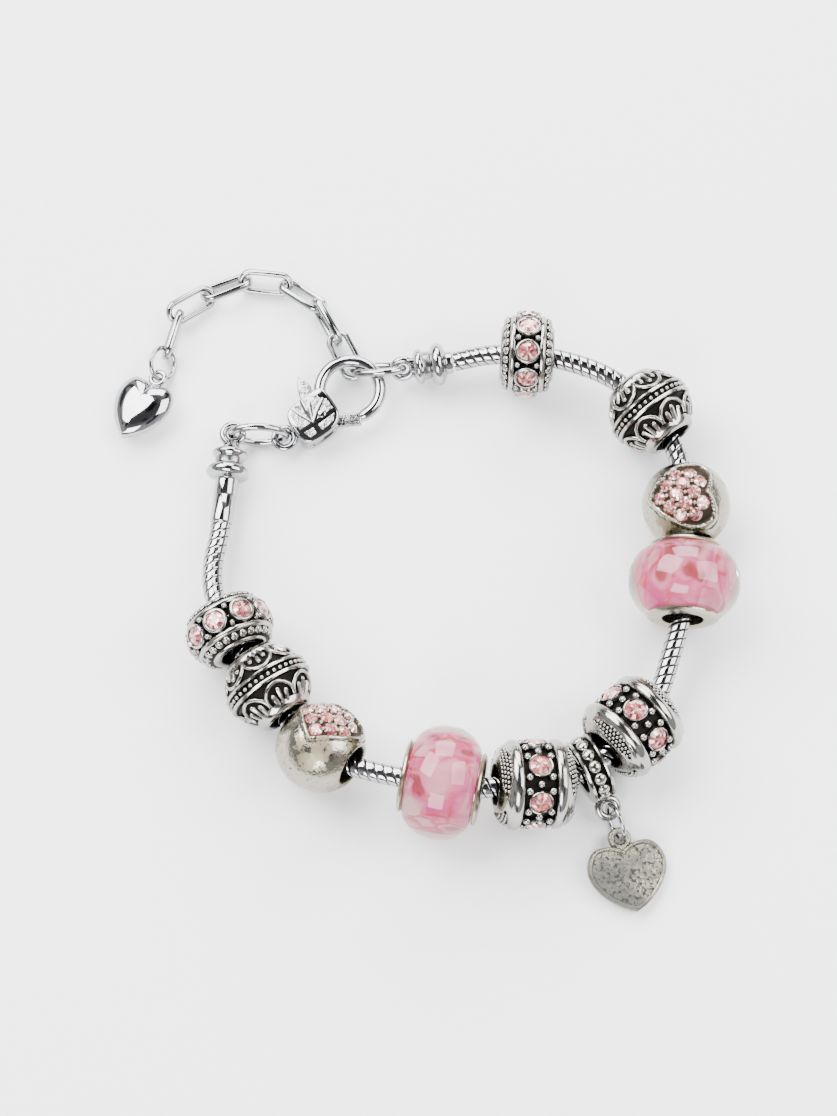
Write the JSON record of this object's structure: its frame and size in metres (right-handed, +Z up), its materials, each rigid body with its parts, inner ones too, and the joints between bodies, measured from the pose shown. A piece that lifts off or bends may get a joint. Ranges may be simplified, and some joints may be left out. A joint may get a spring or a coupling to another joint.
{
  "type": "charm bracelet",
  "caption": "Flexible snake-chain bracelet lying fastened, strung with metal, rhinestone and glass beads, with a lobster clasp, an extender chain and heart charms.",
  "frame": {"origin": "middle of the bracelet's box, on the surface that it lies on", "axes": "+Z up out of the table, +Y towards the clasp and the extender chain, +X to the right"},
  "size_m": [0.0794, 0.0846, 0.0137],
  "materials": {
    "bright_metal": "polished silver-coloured plating",
    "antique_metal": "antique silver-coloured casting with blackened recesses",
    "warm_metal": "slightly tarnished, warm silver-coloured casting",
    "tarnished_metal": "dull, stained silver-coloured casting with a bright rim",
    "crystal": "clear cut, pale rose",
    "petal_glass": "clear over pink and white petals"
  },
  "bodies": {
    "bracelet": {"snake_chain": "bright_metal", "rhinestone_spacer_left": "antique_metal", "rhinestone_spacer_left_stone_1": "crystal", "rhinestone_spacer_left_stone_2": "crystal", "rhinestone_spacer_left_stone_3": "crystal", "rhinestone_spacer_left_stone_4": "crystal", "rhinestone_spacer_left_stone_5": "crystal", "rhinestone_spacer_left_stone_6": "crystal", "rhinestone_spacer_left_stone_7": "crystal", "rhinestone_spacer_left_stone_8": "crystal", "rhinestone_spacer_left_stone_9": "crystal", "filigree_ball_left": "antique_metal", "pave_heart_ball_left": "warm_metal", "glass_bead_left": "petal_glass", "glass_bead_left_core": "antique_metal", "crystal_barrel_left": "antique_metal", "end_cap_left": "bright_metal", "rhinestone_spacer_right": "antique_metal", "rhinestone_spacer_right_stone_1": "crystal", "rhinestone_spacer_right_stone_2": "crystal", "rhinestone_spacer_right_stone_3": "crystal", "rhinestone_spacer_right_stone_4": "crystal", "rhinestone_spacer_right_stone_5": "crystal", "rhinestone_spacer_right_stone_6": "crystal", "rhinestone_spacer_right_stone_7": "crystal", "rhinestone_spacer_right_stone_8": "crystal", "rhinestone_spacer_right_stone_9": "crystal", "filigree_ball_right": "antique_metal", "pave_heart_ball_right": "warm_metal", "glass_bead_right": "petal_glass", "glass_bead_right_core": "antique_metal", "crystal_barrel_right": "antique_metal", "end_cap_right": "bright_metal", "charm_holder": "antique_metal", "clasp_link": "bright_metal", "connector_link": "bright_metal", "extender_link_1": "bright_metal", "extender_link_2": "bright_metal", "extender_link_3": "bright_metal", "extender_link_4": "bright_metal", "extender_link_5": "bright_metal", "extender_link_6": "bright_metal", "extender_link_7": "bright_metal", "heart_ring": "bright_metal", "charm_ring": "bright_metal", "clasp_body": "bright_metal", "puffed_heart": "bright_metal", "flat_heart": "tarnished_metal"},
    "lever": {"clasp_lever": "bright_metal"}
  },
  "joints": [
    {"name": "clasp_lever_hinge", "type": "hinge", "parent": "bracelet", "child": "lever", "pos_m": [-0.01266, 0.02161, 0.00246], "axis": [-0.0349, -0.0875, 0.9956], "range_deg": [0, 25], "stiffness_Nm_per_rad": 0.0005, "springref_deg": -20.05}
  ]
}
